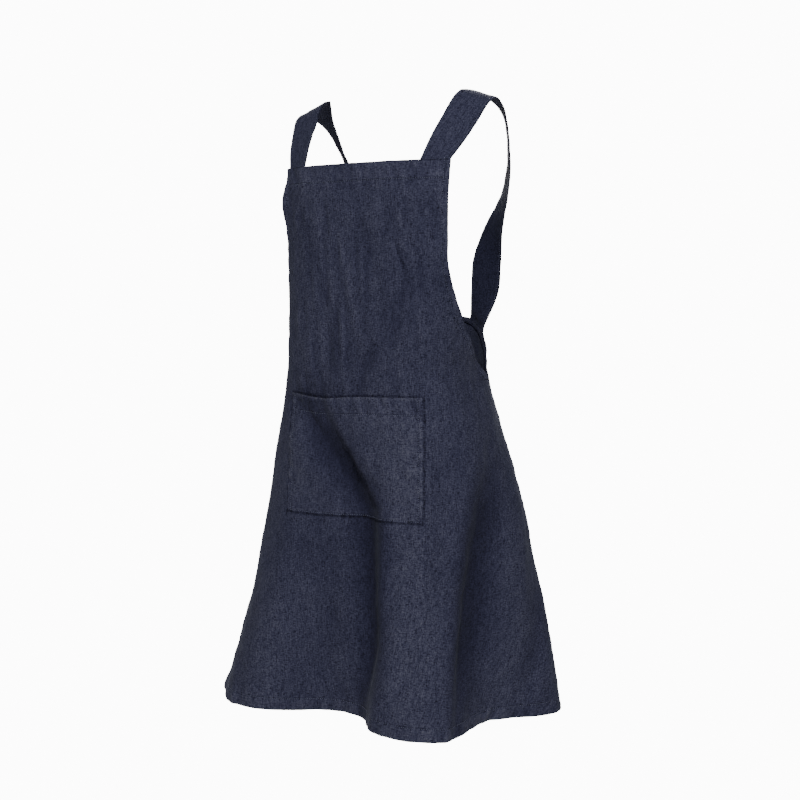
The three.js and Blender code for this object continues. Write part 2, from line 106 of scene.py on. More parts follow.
# drop is a share of LENGTH, half and lean of HEM_HALF_WIDTH, front of HEM_FRONT, back of HEM_BACK
SECTION_COLUMNS = ("drop", "half", "front", "back", "front_square", "back_square", "lean")
SECTIONS = np.array([
    (0.0, 0.6, 0.5, 0.8, 3.0, 2.0, 0),
    (0.114, 0.618, 0.545, 0.86, 3.0, 2.0, 0),
    (0.175, 0.638, 0.578, 0.9, 3.0, 2.0, 0),
    (0.248, 0.604, 0.588, 0.93, 3.0, 2.0, 0),
    (0.325, 0.576, 0.596, 0.94, 3.0, 2.0, -0.008),
    (0.4, 0.566, 0.6, 0.93, 3.0, 1.9, -0.024),
    (0.45, 0.565, 0.6, 0.92, 3.0, 1.9, -0.034),
    (0.53, 0.628, 0.604, 0.93, 3.0, 1.9, -0.018),
    (0.676, 0.782, 0.625, 0.95, 2.8, 2.0, -0.006),
    (0.84, 0.898, 0.79, 0.98, 2.5, 2.1, -0.004),
    (1.0, 1.0, 1.0, 1.0, 2.4, 2.2, 0),
])
SECTION = {name: SECTIONS[:, i] for i, name in enumerate(SECTION_COLUMNS)}

# Hanging folds: start and end are shares of LENGTH, top and foot the fold's own angles there,
# left and right its half widths in degrees, depth a share of HEM_HALF_WIDTH
FOLDS = [
    dict(start=0.59, top=-4, foot=-9, left=38, right=47, depth=-0.285, grow=1.8, bend=1),
    dict(start=0.505, top=90, foot=70, left=25, right=31, depth=-0.262, grow=1.3, bend=0.6),
    dict(start=0.5, top=-40, foot=-50, left=26, right=24, depth=0.05, grow=1.2, bend=1),
    dict(start=0.56, top=-78, foot=-88, left=27, right=24, depth=-0.16, grow=1.4, bend=1),
    dict(start=0.55, top=-138, foot=-136, left=22, right=24, depth=-0.13, grow=1.4, bend=1),
    dict(start=0.55, top=140, foot=137, left=24, right=22, depth=-0.13, grow=1.4, bend=1),
]
CREASES = [
    dict(start=0.4, end=0.7, top=-46, foot=18, left=10, right=13, depth=-0.02),
    dict(start=0.2, end=0.4, top=12, foot=22, left=7, right=8, depth=-0.009),
    dict(start=0.3, end=0.52, top=-16, foot=-22, left=12, right=10, depth=-0.016),
]

# Straps: out of SHOULDER_HALF_SPAN, back of HEM_BACK, down of BIB_DROP in front and BACK_DROP
# behind, wide of STRAP_WIDTH, and degrees of turn for each strap and of tilt
STRAP_FRONT = [
    (0.905, -0.455, 0.71, 0.93, 18, 16, -12),
    (0.96, -0.31, 0.43, 1.0, 10, 6, -17),
    (1.005, -0.17, 0.17, 1.05, 3, 2, -20),
    (1.025, -0.02, 0.06, 1.05, -8, 0, -20),
    (1.075, 0.16, 0.09, 1.0, -40, 22, -15),
]
STRAP_BACK = [
    (1.105, 0.38, 0.1, 1.0, -60, 50, -8),
    (1.04, 0.59, 0.26, 1.0, -61, 56, -4),
    (0.92, 0.73, 0.42, 1.0, -54, 40, -8),
    (0.75, 0.82, 0.57, 1.0, -34, 16, -12),
    (0.635, 0.86, 0.73, 1.0, -6, 8, -12),
    (0.61, 0.85, 0.88, 1.0, -8, -12, -8),
]
# out of STRAP_END_OUT, down of the height between the crossing and the sewn end
STRAP_LOWER = [
    (1.15, -1.7), (1.03, -1.33), (0.83, -0.93), (0.55, -0.55),
    (0.28, -0.26), (0, 0), (-0.5, 0.5), (-1, 1),
]


# The body of cloth

def through(keys, values, at):
    """A smooth curve through values at keys, for an array of places."""
    keys, values, at = (np.asarray(x, float) for x in (keys, values, at))
    i = np.searchsorted(keys[1:-1], at)
    before = np.maximum(np.arange(len(keys)) - 1, 0)
    after = np.minimum(np.arange(len(keys)) + 1, len(keys) - 1)
    slope = (values[after] - values[before]) / (keys[after] - keys[before])
    span = keys[i + 1] - keys[i]
    t = np.clip((at - keys[i]) / span, 0, 1)
    lead = t * (1 - t) ** 2 * slope[i] + t * t * (t - 1) * slope[i + 1]
    return values[i] + (values[i + 1] - values[i]) * t * t * (3 - 2 * t) + span * lead


def smooth(t):
    t = np.clip(t, 0, 1)
    return t * t * (3 - 2 * t)


def mix(a, b, t):
    return a + (b - a) * t


def swell(angle, centre, row, strength):
    half = np.where(angle < centre, row["left"], row["right"])
    away = np.minimum(np.abs(angle - centre) / half, 1)
    return row["depth"] * HEM_HALF_WIDTH * strength * 0.5 * (1 + np.cos(np.pi * away))


def fold_depth(angle, drop):
    depth = np.zeros(np.broadcast(angle, drop).shape)
    for row in FOLDS:
        t = np.clip((drop - row["start"]) / (1 - row["start"]), 0, 1)
        depth += swell(angle, mix(row["top"], row["foot"], t ** row["bend"]), row, t ** row["grow"])
    for row in CREASES:
        t = np.clip((drop - row["start"]) / (row["end"] - row["start"]), 0, 1)
        depth += swell(angle, mix(row["top"], row["foot"], t), row, np.sin(np.pi * t) ** 2)
    return depth


def body_point(angle, z):
    """A point of the body of cloth, at angles in degrees round from the centre front."""
    angle, z = np.broadcast_arrays(np.asarray(angle, float), np.asarray(z, float))
    drop = -z / LENGTH
    side, ahead = np.sin(np.radians(angle)), np.cos(np.radians(angle))
    part = {name: through(SECTION["drop"], SECTION[name], drop) for name in SECTION_COLUMNS[1:]}
    half = HEM_HALF_WIDTH * part["half"]
    depth = np.where(ahead > 0, HEM_FRONT * part["front"], HEM_BACK * part["back"])
    square = np.where(ahead > 0, part["front_square"], part["back_square"])
    reach = (np.abs(side) / half) ** square + (np.abs(ahead) / depth) ** square
    radius = reach ** (-1 / square) + fold_depth((angle + 180) % 360 - 180, drop)
    lean = HEM_HALF_WIDTH * part["lean"]
    return np.stack([lean + radius * side, -radius * ahead, z], axis=-1)


# Lengths along the cloth, from the centre front, on a table of heights and angles
ARC_ANGLES = np.linspace(-205, 205, 821)
ARC_HEIGHTS = np.linspace(-LENGTH - 4, 0, 479)
arc_points = body_point(ARC_ANGLES[None, :], ARC_HEIGHTS[:, None])
ARC = np.concatenate([
    np.zeros((len(ARC_HEIGHTS), 1)),
    np.cumsum(np.linalg.norm(np.diff(arc_points, axis=1), axis=2), axis=1),
], axis=1)
ARC -= ARC[:, [len(ARC_ANGLES) // 2]]


def place_in(table, value):
    """Where values fall in an even table: the entry before, and the share of the way to the next."""
    place = np.clip((value - table[0]) / (table[1] - table[0]), 0, len(table) - 1.001)
    before = place.astype(int)
    return before, place - before


def arc_row(z):
    i, share = place_in(ARC_HEIGHTS, z)
    return mix(ARC[i], ARC[i + 1], share)


def along(angle, z):
    """Length along the cloth from the centre front to places (angle, z)."""
    a, turn = place_in(ARC_ANGLES, angle)
    h, rise = place_in(ARC_HEIGHTS, z)
    low = mix(ARC[h, a], ARC[h, a + 1], turn)
    return mix(low, mix(ARC[h + 1, a], ARC[h + 1, a + 1], turn), rise)


def angle_along(start, length, z):
    """The angle a length along the cloth from a start angle, at heights z, on the wearer's left."""
    start, length, z = np.broadcast_arrays(*(np.asarray(x, float) for x in (start, length, z)))
    out = np.empty(z.shape)
    for i in np.ndindex(z.shape):
        row = arc_row(z[i])
        out[i] = np.interp(np.interp(start[i], ARC_ANGLES, row) + length[i], row, ARC_ANGLES)
    return out


EDGE_HEIGHTS = np.concatenate([
    np.linspace(HEM_Z, UNDERARM_Z, 60),
    UNDERARM_Z + (BIB_Z - UNDERARM_Z) * np.linspace(0.02, 1, 240) ** 1.5,
])
BIB_EDGE = angle_along(0, BIB_WIDTH / 2, EDGE_HEIGHTS)
BACK_EDGE_HEIGHTS = np.linspace(HEM_Z, -BACK_DROP + 30, 160)
BACK_EDGE = angle_along(180, -BACK_OPENING / 2, BACK_EDGE_HEIGHTS)


def front_edge(z):
    """The front's edge: the side seam up to the underarm and the armhole above it."""
    share = np.clip((z - UNDERARM_Z) / (BIB_Z - UNDERARM_Z), 0, 1)
    x = np.maximum(1 - share / (1 - ARMHOLE_START), 0)
    sweep = 1 - (1 - x ** ARMHOLE_REACH) ** ARMHOLE_FULLNESS
    return np.where(share > 0, mix(np.interp(z, EDGE_HEIGHTS, BIB_EDGE), SEAM_ANGLE, sweep), SEAM_ANGLE)


def back_edge(z):
    return np.interp(z, BACK_EDGE_HEIGHTS, BACK_EDGE)


def back_top(angle):
    t = (angle - SEAM_ANGLE) / (back_edge(-BACK_DROP) - SEAM_ANGLE)
    return mix(UNDERARM_Z, -BACK_DROP, 1 - (1 - np.clip(t, 0, 1)) ** 2)


# Creases and valleys

LATTICE = 96  # heights each way before a pattern repeats
LATTICE_START = (41.3, 43.7)  # where the origin falls in it, away from its ends
NO_EDGE = 1e3  # mm, where a place has no such edge


def crumple(u, v, size_u, size_v, seed):
    """Soft seeded heights of about 1, in lumps of the sizes given. Washed linen keeps such creases."""
    lattice = np.random.default_rng(seed).standard_normal((LATTICE, LATTICE))
    x, y = u / size_u + LATTICE_START[0], v / size_v + LATTICE_START[1]
    i, j = np.floor(x).astype(int), np.floor(y).astype(int)
    fx, fy = smooth(x - i), smooth(y - j)
    i, j, i_next, j_next = i % LATTICE, j % LATTICE, (i + 1) % LATTICE, (j + 1) % LATTICE
    low = mix(lattice[i, j], lattice[i_next, j], fx)
    high = mix(lattice[i, j_next], lattice[i_next, j_next], fx)
    return mix(low, high, fy)


def near(distance, width):
    return np.exp(-((distance / width) ** 2))


def edge_distances(angle, z):
    """Distances from the bib's top, the nearest side or armhole edge, and the bottom hem."""
    s = along(angle, z)
    edge = np.where(z > UNDERARM_Z, np.abs(along(np.sign(angle) * front_edge(z), z)), NO_EDGE)
    step = 2.0
    lower = np.abs(along(np.sign(angle) * front_edge(z - step), z - step))
    slope = np.where(z > UNDERARM_Z + step, (lower - edge) / step, 0)
    side = (edge - np.abs(s)) / np.sqrt(1 + slope ** 2)
    behind = np.abs(angle) > SEAM_ANGLE
    side = np.where(behind | (z <= UNDERARM_Z), NO_EDGE, side)
    back = np.where(behind, back_top(np.abs(angle)) - z, NO_EDGE)
    return BIB_Z - z, np.minimum(side, back), z - HEM_Z


# Narrower valleys and creases, besides the hanging folds. Each path gives its lengths s along the
# cloth at falling heights z. left and right are its half widths, depth how far it sinks (less than
# nothing for a ridge), rise the height over which it deepens and foot the share left at the hem.
# Its painted shadow is moved by turn, made deeper by shade and wider by spread, and a ridge, with less than
# no depth, gets painted highlight.
VALLEYS = [
    dict(z=(-410, -470, -532, -590, -632, -708, -766, -840, -952),
         s=(-122, -96, -51, -10, 14, 23, 28, 34, 28),
         left=34, right=28, depth=24, rise=170, foot=0.45, turn=11, shade=1.35, spread=1.05),
    dict(z=(-500, -602, -682, -756, -830, -952),
         s=(262, 228, 220, 219, 224, 230),
         left=28, right=42, depth=22, rise=200, foot=0.45, turn=-2, shade=1.15, spread=1.1),
    dict(z=(-372, -410, -440, -475), s=(38, 30, 22, 8),
         left=7, right=12, depth=3.6, rise=50, foot=1, shade=3),
    dict(z=(-210, -280, -365), s=(60, 86, 79), left=3, right=5, depth=1.7, rise=40, foot=1, shade=5),
    dict(z=(-690, -952), s=(-125, -150), left=38, right=38, depth=-5, rise=160, foot=1),
    dict(z=(-640, -952), s=(-205, -262), left=22, right=26, depth=7, rise=200, foot=0.5),
    dict(z=(-660, -952), s=(-18, -60), left=18, right=20, depth=5, rise=180, foot=0.5),
    dict(z=(-560, -952), s=(330, 382), left=24, right=24, depth=6, rise=200, foot=0.5),
    dict(z=(-440, -560, -700, -952), s=(88, 90, 98, 150),
         left=40, right=42, depth=-3, rise=90, foot=1, shade=2.4),
    dict(z=(-560, -700, -952), s=(285, 300, 340),
         left=36, right=36, depth=-2.5, rise=120, foot=1, shade=2.4),
]
VALLEY_END = 50  # height over which a valley that stops above the hem fades out
VALLEY_FOOT = 130  # height above the hem over which the others reach their foot's share


def valley_depth(s, z, turned=0):
    """How far the cloth sinks. With turned=1, how much painted shade it gets instead: the same, moved to
    the side turned from the light, and painted highlight where it is less than nothing."""
    sunk = np.zeros(np.shape(s))
    for row in VALLEYS:
        start, end = row["z"][0], row["z"][-1]
        away = s - np.interp(-z, -np.array(row["z"]), row["s"]) - turned * row.get("turn", 0)
        strength = smooth((start - z) / row["rise"])
        if end > HEM_Z:
            strength = strength * smooth((z - end) / VALLEY_END + 0.5)
        else:
            strength = strength * mix(1, row["foot"], smooth((HEM_Z + VALLEY_FOOT - z) / VALLEY_FOOT))
        width = np.where(away < 0, row["left"], row["right"]) * mix(1, row.get("spread", 1), turned)
        sunk += mix(1, row.get("shade", 1), turned) * row["depth"] * strength * near(away, width)
    return sunk


def skirt_share(z):
    """0 on the bib, growing to 1 on the skirt."""
    return smooth((UNDERARM_Z + 60 - z) / 260)


def crinkles(s, z):
    """Small sharp creases: down the bib, across its top hem and round the pocket's stitching.
    Each line is a height in mm, where it lies, and a pattern with its own sizes and seed."""
    middle = near(s + 15, 75) * near(z + 345, 95)
    across, down = POCKET_WIDTH / 2 - np.abs(s), POCKET_Z - z
    held = smooth(down / 8) * smooth((POCKET_HEIGHT - down) / 8)
    out = (0.45 + 0.75 * middle) * (1 - 0.5 * skirt_share(z)) * crumple(s + 0.12 * z, z, 8, 52, 19)
    out += 0.3 * crumple(s - 0.4 * z, z, 12, 15, 13)
    out += 0.7 * near(BIB_Z - z - 10, 15) * crumple(s + 0.7 * z, z, 8, 40, 16)
    out += 0.7 * near(down - 12, 13) * smooth(across / 6) * crumple(s + 0.3 * z, z, 8, 60, 21)
    out += 0.9 * near(z - HEM_Z - SKIRT_HEM / 2, 11) * crumple(s, z, 9, 40, 24)
    out += 0.9 * near(across - 4, 5) * held * crumple(s, z, 60, 7, 22)
    return out


def relief(angle, z):
    """Small creases and puckers, the same for every layer of cloth at a place."""
    s = along(angle, z)
    _, side, foot = edge_distances(angle, z)
    skirt = skirt_share(z)
    soft = 1.1 * crumple(s, z, 62, 95, 11) + 0.55 * crumple(s + 0.3 * z, z - 0.2 * s, 27, 38, 12)
    fine = crinkles(s, z) + 0.12 * crumple(s, z, 6, 6, 14)
    drape = 1.6 * skirt * crumple(s, z, 34, 260, 15)
    puckers = 0.5 * near(np.minimum(side, 60), 12) * crumple(s, z, 60, 8, 17)
    puckers += 0.8 * near(foot - SKIRT_HEM / 2, 15) * crumple(s, z, 11, 60, 18)
    roll = 0.7 * near(side - EDGE_HEM / 2, 5) + 0.5 * near(foot - SKIRT_HEM / 2, 10)
    bulge = 4.5 * near(z + 165, 24) * near(s + BIB_WIDTH / 2, 11)
    return soft * (0.55 + 0.45 * skirt) + fine + drape + puckers + roll + bulge - valley_depth(s, z)


def cloth_point(angle, z, offset):
    """Points moved out of the cloth by an offset along its normal, relief included."""
    turn, rise = 0.5, 2
    wide = body_point(angle + turn, z) - body_point(angle - turn, z)
    tall = body_point(angle, z + rise) - body_point(angle, z - rise)
    normal = np.cross(wide, tall)
    normal /= np.linalg.norm(normal, axis=-1, keepdims=True)
    return body_point(angle, z) + normal * (offset + relief(angle, z))[..., None]


# Meshes

FAR = 99.0  # mm, where a place has no such stitch line, and the most that is stored
HOLLOW_MOST = 0.93  # the most painted shade a hollow gets, of 1
HOLLOW_DEPTH = 22  # mm of depth that brings a hollow about three quarters of the way there
SHARP_EDGE = 60  # degrees
# What looks as dark as so many mm of depth
INSIDE_SHADE = 6.0  # painted shade on the side turned to the wearer
CRINKLE_SHADE = 6  # painted light and shade for each mm of a crinkle, lighter where it stands up
PATCH_SHADE = 2  # soft patches, and their size in mm and seed
PATCHES = (40, 60, 23)


def far_like(z):
    return np.full(np.shape(z), FAR)


def from_rim(points):
    """Distances along a grid of points from its nearest side."""
    out = []
    for axis in (0, 1):
        steps = np.linalg.norm(np.diff(points, axis=axis), axis=2)
        run = np.cumsum(np.insert(steps, 0, 0, axis=axis), axis=axis)
        out += [run, np.take(run, [-1], axis=axis) - run]
    return np.minimum.reduce(out)


def make_mesh(name, outer, inner, uv, lines, hollow, edge=None):
    """A closed wall between two grids of points in mm, rows upwards and columns to the left.
    For the cloth's material, lines holds three distances from stitch lines, hollow how much painted shade
    the outer and the inner side get, as mm of depth, and edge how far both lie from its edge, in mm."""
    rows, columns = outer.shape[:2]
    places = np.concatenate([outer.reshape(-1, 3), inner.reshape(-1, 3)]) * MM
    grid = np.arange(rows * columns).reshape(rows, columns)
    back = grid + rows * columns
    front_faces = np.stack([grid[:-1, :-1], grid[:-1, 1:], grid[1:, 1:], grid[1:, :-1]], -1)
    back_faces = np.stack([back[:-1, :-1], back[1:, :-1], back[1:, 1:], back[:-1, 1:]], -1)
    rims = [
        np.stack([grid[:-1, 0], grid[1:, 0], back[1:, 0], back[:-1, 0]], -1),
        np.stack([grid[:-1, -1], back[:-1, -1], back[1:, -1], grid[1:, -1]], -1),
        np.stack([grid[0, :-1], back[0, :-1], back[0, 1:], grid[0, 1:]], -1),
        np.stack([grid[-1, :-1], grid[-1, 1:], back[-1, 1:], back[-1, :-1]], -1),
    ]
    faces = np.concatenate([f.reshape(-1, 4) for f in (front_faces, back_faces, *rims)])
    mesh = bpy.data.meshes.new(name)
    mesh.from_pydata(places.tolist(), [], faces.tolist())
    mesh.update()
    corner = np.empty(len(mesh.loops), np.int32)
    mesh.loops.foreach_get("vertex_index", corner)
    flat_uv = np.tile(np.stack(uv, -1).reshape(-1, 2), (2, 1)) * MM
    layer = mesh.uv_layers.new(name="cloth")
    layer.data.foreach_set("uv", flat_uv[corner].astype(np.float32).ravel())
    if edge is None:
        edge = [from_rim(outer)] * 2
    both_edges = np.concatenate([side.ravel() for side in edge])
    both_hollows = np.concatenate([side.ravel() for side in hollow])
    both_lines = np.tile(np.stack(lines, -1).reshape(-1, 3), (2, 1))
    for label, kind, field, values in (
        ("stitch_lines", "FLOAT_VECTOR", "vector", np.clip(both_lines, -FAR, FAR)),
        ("edge", "FLOAT", "value", np.clip(both_edges, 0, FAR)),
        # Painted shade, and painted light where it is less than nothing
        ("hollow", "FLOAT", "value", HOLLOW_MOST * np.tanh(both_hollows / HOLLOW_DEPTH)),
    ):
        attribute = mesh.attributes.new(label, kind, "POINT")
        attribute.data.foreach_set(field, values.astype(np.float32).ravel())
    mesh.polygons.foreach_set("use_smooth", np.ones(len(mesh.polygons), bool))
    mesh.set_sharp_from_angle(angle=np.radians(SHARP_EDGE))
    return mesh


def add_piece(name, mesh, material, nodes=()):
    piece = bpy.data.objects.new(name, mesh)
    bpy.context.scene.collection.objects.link(piece)
    mesh.materials.append(material)
    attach(piece, "root")
    if nodes:
        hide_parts(*nodes)
    return piece


def cloth_wall(name, angle, z, offset, lines, thickness=CLOTH, edge=None, worn=0):
    """Cloth on the body, as a closed wall, with painted shade from its valleys and crinkles, more on its
    inner side. lightened is how much paler it is drawn, taken off that painted shade.
    """
    outer = cloth_point(angle, z, offset + thickness / 2)
    inner = cloth_point(angle, z, offset - thickness / 2)
    s = along(angle, z)
    # Painted shade as mm of depth: the valleys' painted shade, painted light and shade on the crinkles, and
    # soft patches of tone
    dark = valley_depth(s, z, 1) - worn - CRINKLE_SHADE * crinkles(s, z)
    dark -= PATCH_SHADE * crumple(s, z, *PATCHES)
    return make_mesh(name, outer, inner, (s, z), lines, (dark, dark + INSIDE_SHADE), edge)


def flat_area(angle, z):
    """Area of cloth in a grid of places, in square metres."""
    p = body_point(angle, z) * MM
    cross = np.cross(p[1:, 1:] - p[:-1, :-1], p[1:, :-1] - p[:-1, 1:])
    return float(np.linalg.norm(cross, axis=-1).sum() / 2)


# Materials

def linear(hex_colour):
    """An sRGB hex colour as linear RGBA."""
    parts = [int(hex_colour[i:i + 2], 16) / 255 for i in (1, 3, 5)]
    return (*[c / 12.92 if c <= 0.04045 else ((c + 0.055) / 1.055) ** 2.4 for c in parts], 1)


def add_node(tree, kind, settings=None, inputs=()):
    """A node of a kind with its settings. inputs, by order or by key, are values or linked outputs."""
    node = tree.nodes.new(kind)
    for key, value in (settings or {}).items():
        setattr(node, key, value)
    for key, value in (inputs.items() if isinstance(inputs, dict) else enumerate(inputs)):
        if isinstance(value, bpy.types.NodeSocket):
            tree.links.new(value, node.inputs[key])
        else:
            node.inputs[key].default_value = value
    return node


def new_material(name):
    material = bpy.data.materials.new(name)
    material.use_nodes = True
    material.node_tree.nodes.clear()
    return material, material.node_tree


# The linen's patterns: size across and along in mm, amount of finer detail, and seed.
# Mottle is dye that was taken up unevenly, grain the hairy fibres, drawn coarser than they are so
# that they show, pucker the gathers beside a seam and crinkle the creases that washing leaves.
SLUB_LENGTH = 6.0  # mm, how far a thick place in a yarn runs
YARN = 1.2  # mm, drawn about twice as coarse as the real yarns, which are too fine to show
LINEN_PATTERNS = {
    "weft": (SLUB_LENGTH, YARN, 1, 3.1),
    "warp": (YARN, SLUB_LENGTH * 1.6, 1, 7.7),
    "mottle": (38, 46, 3, 12.4),
    "grain": (1.7, 2.3, 1, 21.9),
    "pucker": (6.5, 6.5, 1, 30.3),
    "crinkle": (8, 60, 2, 44.4),
}

# Each step makes one value, out of numbers and earlier values: its name, the operation, and what
# goes in. LINEAR and SMOOTHSTEP take a value, two places in it, and the results at those places.
LINEN_STEPS = [
    ("yarns", "ADD", "weft", "warp"),
    ("away 1", "ABSOLUTE", "line 1"),
    ("away 2", "ABSOLUTE", "line 2"),
    ("away 3", "ABSOLUTE", "line 3"),
    ("nearest", "MINIMUM", "away 1", "away 2"),
    ("nearest", "MINIMUM", "nearest", "away 3"),
    ("inmost", "MINIMUM", "line 1", "line 2"),
    ("inmost", "MINIMUM", "inmost", "line 3"),
    ("groove", "SMOOTHSTEP", "nearest", 0.5, 1.9, 1, 0),
    ("hem", "SMOOTHSTEP", "inmost", 1.5, -1.5, 0, 1),
    ("beside", "SMOOTHSTEP", "nearest", 1, 14, 1, 0),
    ("gather", "SUBTRACT", "pucker", 0.5),
    ("ripple", "MULTIPLY", "gather", "beside"),
    ("bend", "SUBTRACT", "crinkle", 0.5),
    ("bend", "ABSOLUTE", "bend"),
    ("crease", "SMOOTHSTEP", "bend", 0, 0.05, 1, 0),
    ("outline", "SMOOTHSTEP", "edge", 0.6, 2.6, 1, 0),
]


def bell_steps(name, value, centre, width):
    """Steps for a bell of height 1 over a value, as near() gives."""
    return [
        (name, "SUBTRACT", value, centre),
        (name, "DIVIDE", name, width),
        (name, "MULTIPLY", name, name),
        (name, "MULTIPLY", name, -1),
        (name, "EXPONENT", name),
    ]


# Painted shade where the pocket's edges touch the panel, and a painted fold above the pocket: a pale ridge
# of painted highlight with its painted shadow, running down and to the left from FOLD_TOP.
FOLD_TOP = -216
POCKET_STEPS = [
    *bell_steps("sag", "u", SAG_CENTRE, SAG_WIDTH),
    ("above", "MULTIPLY_ADD", "sag", POCKET_SAG, "v"),
    ("above", "SUBTRACT", "above", POCKET_Z + 1),
    ("below", "SUBTRACT", POCKET_FOOT_Z, "v"),
    ("across", "ABSOLUTE", "u"),
    ("across", "SUBTRACT", "across", POCKET_WIDTH / 2),
    ("out", "MAXIMUM", "above", "below"),
    ("out", "MAXIMUM", "out", "across"),
    ("out", "ABSOLUTE", "out"),
    ("contact", "SMOOTHSTEP", "out", 1.2, 3.8, 0.75, 0),
    ("outline", "MAXIMUM", "outline", "contact"),
    ("fallen", "SUBTRACT", FOLD_TOP, "v"),
    ("middle", "MULTIPLY_ADD", "fallen", 0.36, 61),
    ("off", "SUBTRACT", "u", "middle"),
    *bell_steps("ridge", "off", 0, 1.291),
    *bell_steps("shadow", "off", 4.5, 3.536),
    ("begun", "LINEAR", "fallen", 0, 36, 0, 1),
    ("lasting", "LINEAR", "fallen", 52, 82, 1, 0),
    ("fold", "MULTIPLY", "ridge", 0.5),
    ("fold", "MULTIPLY_ADD", "shadow", -0.3, "fold"),
    ("fold", "MULTIPLY", "fold", "begun"),
    ("fold", "MULTIPLY", "fold", "lasting"),
]

# Each layer's gain in brightness, its mean, and how far it raises the cloth. The gains of ripple, crease,
# groove and outline are painted light and shade: puckers lighter where they rise, and creases, stitch
# grooves and rims darker.
LINEN_LAYERS = [
    ("yarns", 2.1, 1, 0.6),
    ("mottle", 0.12, 0.5, 0),
    ("grain", 2.6, 0.5, 0.5),
    ("ripple", 1.2, 0, 1.5),
    ("crease", -0.1, 0, -0.35),
    ("groove", -0.38, 0, -0.7),
    ("outline", -0.6, 0, 0),
]
HEM_RISE = 0.5
DARKEST = 0.1  # of the plain colour
HOLLOW_LOSS = 0.86  # share of the brightness that the darkest painted shade takes away
# Powers of the shade for red, green and blue, so that darker shade, the painted shade most of all, stays
# blue and paler places turn greyer
SHADE_POWERS = (("red", 1.1), ("green", 1.08), ("blue", 0.74))


def washed_linen(name, colour, fade, pocket=False):
    """Linen, garment washed: matt, with slubs along both yarns, paler, puckered hems, painted shade in the
    hollows, creases, stitch grooves and along the rims, and painted light on the puckers. fade is how much
    paler the hems are, and pocket adds the painted shade round the pocket and the painted fold above it."""
    material, tree = new_material(name)
    uv = add_node(tree, "ShaderNodeUVMap", {"uv_map": "cloth"})
    flat = add_node(tree, "ShaderNodeVectorMath", {"operation": "SCALE"},
                    {0: uv.outputs[0], "Scale": 1 / MM}).outputs[0]
    lines = add_node(tree, "ShaderNodeAttribute", {"attribute_name": "stitch_lines"}).outputs["Vector"]
    found = {}
    for names, vector in ((("u", "v"), flat), (("line 1", "line 2", "line 3"), lines)):
        apart = add_node(tree, "ShaderNodeSeparateXYZ", None, [vector])
        found.update(zip(names, apart.outputs))
    for key in ("edge", "hollow"):
        found[key] = add_node(tree, "ShaderNodeAttribute", {"attribute_name": key}).outputs["Fac"]
    for key, (size_u, size_v, detail, seed) in LINEN_PATTERNS.items():
        at = add_node(tree, "ShaderNodeVectorMath", {"operation": "MULTIPLY_ADD"},
                      [flat, (1 / size_u, 1 / size_v, 0), (0, 0, seed)])
        found[key] = add_node(tree, "ShaderNodeTexNoise", None, {
            "Vector": at.outputs[0], "Scale": 1, "Detail": detail, "Roughness": 0.55}).outputs[0]

    layers = [*LINEN_LAYERS, ("hem", fade, 0, HEM_RISE)]
    steps = list(LINEN_STEPS)
    if pocket:
        layers.append(("fold", 1, 0, 0))
        steps += POCKET_STEPS
    found["shade"] = 1 - sum(gain * mean for _, gain, mean, _ in layers)
    found["height"] = 0
    for layer, gain, _, rise in layers:
        steps.append(("shade", "MULTIPLY_ADD", layer, gain, "shade"))
        if rise:
            steps.append(("height", "MULTIPLY_ADD", layer, rise, "height"))
    steps += [
        ("shade", "MAXIMUM", "shade", DARKEST),
        # The painted shade in the hollows, and painted light where hollow is less than nothing
        ("lit", "MULTIPLY_ADD", "hollow", -HOLLOW_LOSS, 1),
        ("shade", "MULTIPLY", "shade", "lit"),
        *((key, "POWER", "shade", power) for key, power in SHADE_POWERS),
    ]
    for key, operation, *terms in steps:
        terms = [found[term] if isinstance(term, str) else term for term in terms]
        if operation in ("LINEAR", "SMOOTHSTEP"):
            kind, settings = "ShaderNodeMapRange", {"interpolation_type": operation}
        else:
            kind, settings = "ShaderNodeMath", {"operation": operation}
        found[key] = add_node(tree, kind, settings, terms).outputs[0]

    shades = add_node(tree, "ShaderNodeCombineColor", None, [found[key] for key, _ in SHADE_POWERS])
    dyed = add_node(tree, "ShaderNodeMix", {"data_type": "RGBA", "blend_type": "MULTIPLY"},
                    {0: 1, 6: linear(colour), 7: shades.outputs[0]})
    bump = add_node(tree, "ShaderNodeBump", None, {
        "Strength": 0.75, "Distance": 0.8 * MM, "Height": found["height"]})
    surface = add_node(tree, "ShaderNodeBsdfPrincipled", None, {
        "Base Color": dyed.outputs[2],
        "Normal": bump.outputs[0],
        "Roughness": 0.88,
        "IOR": 1.5,
        "Specular IOR Level": 0.16,
        "Sheen Weight": 0.05,
        "Sheen Roughness": 0.45,
        "Sheen Tint": linear("#aab0c8"),
    })
    tree.nodes.active = add_node(tree, "ShaderNodeOutputMaterial", None, [surface.outputs[0]])
    return material


TWISTS = 0.9  # per mm of thread


def sewing_thread(name, colour, worn_colour):
    """Spun polyester thread, dyed to match: a little glossier and paler than the linen."""
    material, tree = new_material(name)
    place = add_node(tree, "ShaderNodeTexCoord").outputs["Object"]
    twist = add_node(tree, "ShaderNodeTexNoise", None, {"Vector": place, "Scale": TWISTS / MM, "Detail": 1})
    tint = add_node(tree, "ShaderNodeMix", {"data_type": "RGBA"},
                    {0: twist.outputs[0], 6: linear(colour), 7: linear(worn_colour)})
    surface = add_node(tree, "ShaderNodeBsdfPrincipled", None, {
        "Base Color": tint.outputs[2], "Roughness": 0.55, "Specular IOR Level": 0.35})
    tree.nodes.active = add_node(tree, "ShaderNodeOutputMaterial", None, [surface.outputs[0]])
    return material


